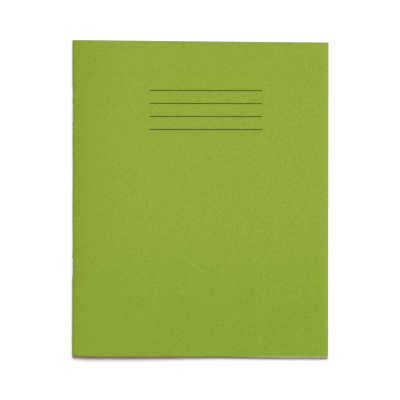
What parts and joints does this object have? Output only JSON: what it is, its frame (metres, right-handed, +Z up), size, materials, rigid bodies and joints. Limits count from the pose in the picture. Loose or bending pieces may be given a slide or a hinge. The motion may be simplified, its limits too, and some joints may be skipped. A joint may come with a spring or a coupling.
{
  "type": "exercise book",
  "caption": "Closed saddle-stapled exercise book with a plain card cover, folded ruled sheets and wire staples; the cover opens alone and the leaves open at the middle.",
  "frame": {"origin": "on the table under the middle of the closed book's box", "axes": "+Z up from the table, +X from the spine to the fore edge, +Y from the tail to the head"},
  "size_m": [0.1654, 0.2032, 0.0049],
  "materials": {
    "cover_card": "matte",
    "page_paper": "matte",
    "staple_wire": "satin"
  },
  "bodies": {
    "back_cover": {"back_cover": "cover_card"},
    "spine": {"staple_head": "staple_wire", "staple_tail": "staple_wire", "cover_fold": "cover_card", "sheet_01_fold": "page_paper", "sheet_02_fold": "page_paper", "sheet_03_fold": "page_paper", "sheet_04_fold": "page_paper", "sheet_05_fold": "page_paper", "sheet_06_fold": "page_paper", "sheet_07_fold": "page_paper", "sheet_08_fold": "page_paper", "sheet_09_fold": "page_paper", "sheet_10_fold": "page_paper", "sheet_11_fold": "page_paper", "sheet_12_fold": "page_paper"},
    "back_leaf_01": {"sheet_01_back_leaf": "page_paper"},
    "back_leaf_02": {"sheet_02_back_leaf": "page_paper"},
    "back_leaf_03": {"sheet_03_back_leaf": "page_paper"},
    "back_leaf_04": {"sheet_04_back_leaf": "page_paper"},
    "back_leaf_05": {"sheet_05_back_leaf": "page_paper"},
    "back_leaf_06": {"sheet_06_back_leaf": "page_paper"},
    "back_leaf_07": {"sheet_07_back_leaf": "page_paper"},
    "back_leaf_08": {"sheet_08_back_leaf": "page_paper"},
    "back_leaf_09": {"sheet_09_back_leaf": "page_paper"},
    "back_leaf_10": {"sheet_10_back_leaf": "page_paper"},
    "back_leaf_11": {"sheet_11_back_leaf": "page_paper"},
    "back_leaf_12": {"sheet_12_back_leaf": "page_paper"},
    "front_leaf_12": {"sheet_12_front_leaf": "page_paper"},
    "front_leaf_11": {"sheet_11_front_leaf": "page_paper"},
    "front_leaf_10": {"sheet_10_front_leaf": "page_paper"},
    "front_leaf_09": {"sheet_09_front_leaf": "page_paper"},
    "front_leaf_08": {"sheet_08_front_leaf": "page_paper"},
    "front_leaf_07": {"sheet_07_front_leaf": "page_paper"},
    "front_leaf_06": {"sheet_06_front_leaf": "page_paper"},
    "front_leaf_05": {"sheet_05_front_leaf": "page_paper"},
    "front_leaf_04": {"sheet_04_front_leaf": "page_paper"},
    "front_leaf_03": {"sheet_03_front_leaf": "page_paper"},
    "front_leaf_02": {"sheet_02_front_leaf": "page_paper"},
    "front_leaf_01": {"sheet_01_front_leaf": "page_paper"},
    "front_cover": {"front_cover": "cover_card"}
  },
  "joints": [
    {"name": "spine_turn", "type": "hinge", "parent": "back_cover", "child": "spine", "pos_m": [-0.07995, 0, 0.00243], "axis": [0, -1, 0], "range_deg": [0, 89.5]},
    {"name": "back_leaf_01_lift", "type": "hinge", "parent": "back_cover", "child": "back_leaf_01", "pos_m": [-0.07995, 0, 0.00243], "axis": [0, -1, 0], "range_deg": [0, 0.66]},
    {"name": "back_leaf_02_lift", "type": "hinge", "parent": "back_cover", "child": "back_leaf_02", "pos_m": [-0.07995, 0, 0.00243], "axis": [0, -1, 0], "range_deg": [0, 1.32]},
    {"name": "back_leaf_03_lift", "type": "hinge", "parent": "back_cover", "child": "back_leaf_03", "pos_m": [-0.07995, 0, 0.00243], "axis": [0, -1, 0], "range_deg": [0, 1.98]},
    {"name": "back_leaf_04_lift", "type": "hinge", "parent": "back_cover", "child": "back_leaf_04", "pos_m": [-0.07995, 0, 0.00243], "axis": [0, -1, 0], "range_deg": [0, 2.64]},
    {"name": "back_leaf_05_lift", "type": "hinge", "parent": "back_cover", "child": "back_leaf_05", "pos_m": [-0.07995, 0, 0.00243], "axis": [0, -1, 0], "range_deg": [0, 3.3]},
    {"name": "back_leaf_06_lift", "type": "hinge", "parent": "back_cover", "child": "back_leaf_06", "pos_m": [-0.07995, 0, 0.00243], "axis": [0, -1, 0], "range_deg": [0, 3.96]},
    {"name": "back_leaf_07_lift", "type": "hinge", "parent": "back_cover", "child": "back_leaf_07", "pos_m": [-0.07995, 0, 0.00243], "axis": [0, -1, 0], "range_deg": [0, 4.62]},
    {"name": "back_leaf_08_lift", "type": "hinge", "parent": "back_cover", "child": "back_leaf_08", "pos_m": [-0.07995, 0, 0.00243], "axis": [0, -1, 0], "range_deg": [0, 5.28]},
    {"name": "back_leaf_09_lift", "type": "hinge", "parent": "back_cover", "child": "back_leaf_09", "pos_m": [-0.07995, 0, 0.00243], "axis": [0, -1, 0], "range_deg": [0, 5.94]},
    {"name": "back_leaf_10_lift", "type": "hinge", "parent": "back_cover", "child": "back_leaf_10", "pos_m": [-0.07995, 0, 0.00243], "axis": [0, -1, 0], "range_deg": [0, 6.6]},
    {"name": "back_leaf_11_lift", "type": "hinge", "parent": "back_cover", "child": "back_leaf_11", "pos_m": [-0.07995, 0, 0.00243], "axis": [0, -1, 0], "range_deg": [0, 7.26]},
    {"name": "back_leaf_12_lift", "type": "hinge", "parent": "back_cover", "child": "back_leaf_12", "pos_m": [-0.07995, 0, 0.00243], "axis": [0, -1, 0], "range_deg": [0, 7.92]},
    {"name": "middle_hinge", "type": "hinge", "parent": "back_leaf_12", "child": "front_leaf_12", "pos_m": [-0.07995, 0, 0.00243], "axis": [0, -1, 0], "range_deg": [0, 163], "deforming": ["sheet_01_fold", "sheet_02_fold", "sheet_03_fold", "sheet_04_fold", "sheet_05_fold", "sheet_06_fold", "sheet_07_fold", "sheet_08_fold", "sheet_09_fold", "sheet_10_fold", "sheet_11_fold", "sheet_12_fold"]},
    {"name": "front_leaf_11_fan", "type": "hinge", "parent": "front_leaf_12", "child": "front_leaf_11", "pos_m": [-0.07995, 0, 0.00243], "axis": [0, -1, 0], "range_deg": [0, 0.66]},
    {"name": "front_leaf_10_fan", "type": "hinge", "parent": "front_leaf_12", "child": "front_leaf_10", "pos_m": [-0.07995, 0, 0.00243], "axis": [0, -1, 0], "range_deg": [0, 1.32]},
    {"name": "front_leaf_09_fan", "type": "hinge", "parent": "front_leaf_12", "child": "front_leaf_09", "pos_m": [-0.07995, 0, 0.00243], "axis": [0, -1, 0], "range_deg": [0, 1.98]},
    {"name": "front_leaf_08_fan", "type": "hinge", "parent": "front_leaf_12", "child": "front_leaf_08", "pos_m": [-0.07995, 0, 0.00243], "axis": [0, -1, 0], "range_deg": [0, 2.64]},
    {"name": "front_leaf_07_fan", "type": "hinge", "parent": "front_leaf_12", "child": "front_leaf_07", "pos_m": [-0.07995, 0, 0.00243], "axis": [0, -1, 0], "range_deg": [0, 3.3]},
    {"name": "front_leaf_06_fan", "type": "hinge", "parent": "front_leaf_12", "child": "front_leaf_06", "pos_m": [-0.07995, 0, 0.00243], "axis": [0, -1, 0], "range_deg": [0, 3.96]},
    {"name": "front_leaf_05_fan", "type": "hinge", "parent": "front_leaf_12", "child": "front_leaf_05", "pos_m": [-0.07995, 0, 0.00243], "axis": [0, -1, 0], "range_deg": [0, 4.62]},
    {"name": "front_leaf_04_fan", "type": "hinge", "parent": "front_leaf_12", "child": "front_leaf_04", "pos_m": [-0.07995, 0, 0.00243], "axis": [0, -1, 0], "range_deg": [0, 5.28]},
    {"name": "front_leaf_03_fan", "type": "hinge", "parent": "front_leaf_12", "child": "front_leaf_03", "pos_m": [-0.07995, 0, 0.00243], "axis": [0, -1, 0], "range_deg": [0, 5.94]},
    {"name": "front_leaf_02_fan", "type": "hinge", "parent": "front_leaf_12", "child": "front_leaf_02", "pos_m": [-0.07995, 0, 0.00243], "axis": [0, -1, 0], "range_deg": [0, 6.6]},
    {"name": "front_leaf_01_fan", "type": "hinge", "parent": "front_leaf_12", "child": "front_leaf_01", "pos_m": [-0.07995, 0, 0.00243], "axis": [0, -1, 0], "range_deg": [0, 7.26]},
    {"name": "front_cover_hinge", "type": "hinge", "parent": "front_leaf_01", "child": "front_cover", "pos_m": [-0.07995, 0, 0.00486], "axis": [0, -1, 0], "range_deg": [0, 181.5], "deforming": ["cover_fold"]}
  ],
  "couplings": [
    {"joint": "spine_turn", "follows": "middle_hinge", "ratio": 0.54586},
    {"joint": "back_leaf_01_lift", "follows": "middle_hinge", "ratio": 0.0039877},
    {"joint": "back_leaf_02_lift", "follows": "middle_hinge", "ratio": 0.0079755},
    {"joint": "back_leaf_03_lift", "follows": "middle_hinge", "ratio": 0.011963},
    {"joint": "back_leaf_04_lift", "follows": "middle_hinge", "ratio": 0.015951},
    {"joint": "back_leaf_05_lift", "follows": "middle_hinge", "ratio": 0.019939},
    {"joint": "back_leaf_06_lift", "follows": "middle_hinge", "ratio": 0.023926},
    {"joint": "back_leaf_07_lift", "follows": "middle_hinge", "ratio": 0.027914},
    {"joint": "back_leaf_08_lift", "follows": "middle_hinge", "ratio": 0.031902},
    {"joint": "back_leaf_09_lift", "follows": "middle_hinge", "ratio": 0.03589},
    {"joint": "back_leaf_10_lift", "follows": "middle_hinge", "ratio": 0.039877},
    {"joint": "back_leaf_11_lift", "follows": "middle_hinge", "ratio": 0.043865},
    {"joint": "back_leaf_12_lift", "follows": "middle_hinge", "ratio": 0.047853},
    {"joint": "front_leaf_11_fan", "follows": "middle_hinge", "ratio": 0.0039877},
    {"joint": "front_leaf_10_fan", "follows": "middle_hinge", "ratio": 0.0079755},
    {"joint": "front_leaf_09_fan", "follows": "middle_hinge", "ratio": 0.011963},
    {"joint": "front_leaf_08_fan", "follows": "middle_hinge", "ratio": 0.015951},
    {"joint": "front_leaf_07_fan", "follows": "middle_hinge", "ratio": 0.019939},
    {"joint": "front_leaf_06_fan", "follows": "middle_hinge", "ratio": 0.023926},
    {"joint": "front_leaf_05_fan", "follows": "middle_hinge", "ratio": 0.027914},
    {"joint": "front_leaf_04_fan", "follows": "middle_hinge", "ratio": 0.031902},
    {"joint": "front_leaf_03_fan", "follows": "middle_hinge", "ratio": 0.03589},
    {"joint": "front_leaf_02_fan", "follows": "middle_hinge", "ratio": 0.039877},
    {"joint": "front_leaf_01_fan", "follows": "middle_hinge", "ratio": 0.043865}
  ]
}
